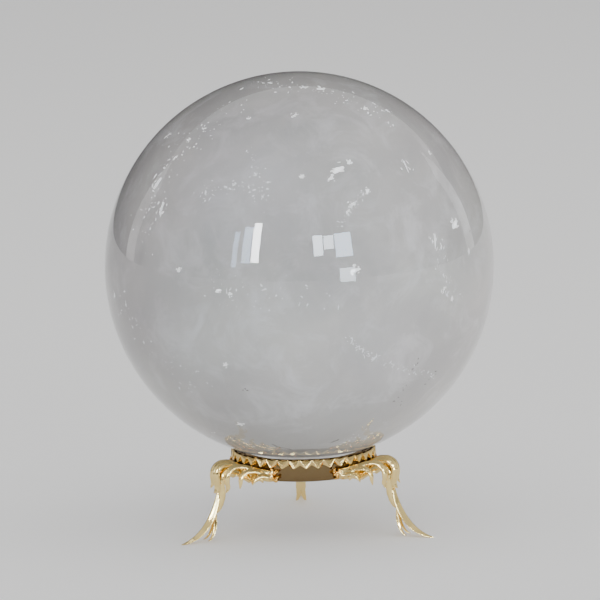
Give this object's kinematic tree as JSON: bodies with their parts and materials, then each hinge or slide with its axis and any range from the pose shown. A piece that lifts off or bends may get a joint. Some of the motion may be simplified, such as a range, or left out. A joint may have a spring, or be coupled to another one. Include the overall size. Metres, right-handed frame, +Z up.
{
  "type": "crystal ball on stand",
  "caption": "Polished milky quartz sphere resting in a low gilt tripod stand with acanthus leaf legs and a crimped gallery ring; the sphere lifts off.",
  "frame": {"origin": "on the surface the stand rests on, under the ball's centre", "axes": "+Z up through the ball's centre; +Y towards the back leg; -Y is the front, between the two front legs; +X to the right seen from the front"},
  "size_m": [0.08, 0.08, 0.0947],
  "materials": {
    "quartz": "polished",
    "gilt": "polished",
    "braze": "rough"
  },
  "bodies": {
    "stand": {"collar": "gilt", "gallery": "gilt", "leg_back": "gilt", "leg_left": "gilt", "leg_right": "gilt", "braze_back": "braze", "braze_left": "braze", "braze_right": "braze"},
    "ball": {"quartz_ball": "quartz"}
  },
  "joints": [
    {"name": "ball_lift", "type": "slide", "parent": "stand", "child": "ball", "axis": [0, 0, 1], "range_m": [0, 0.04]}
  ]
}
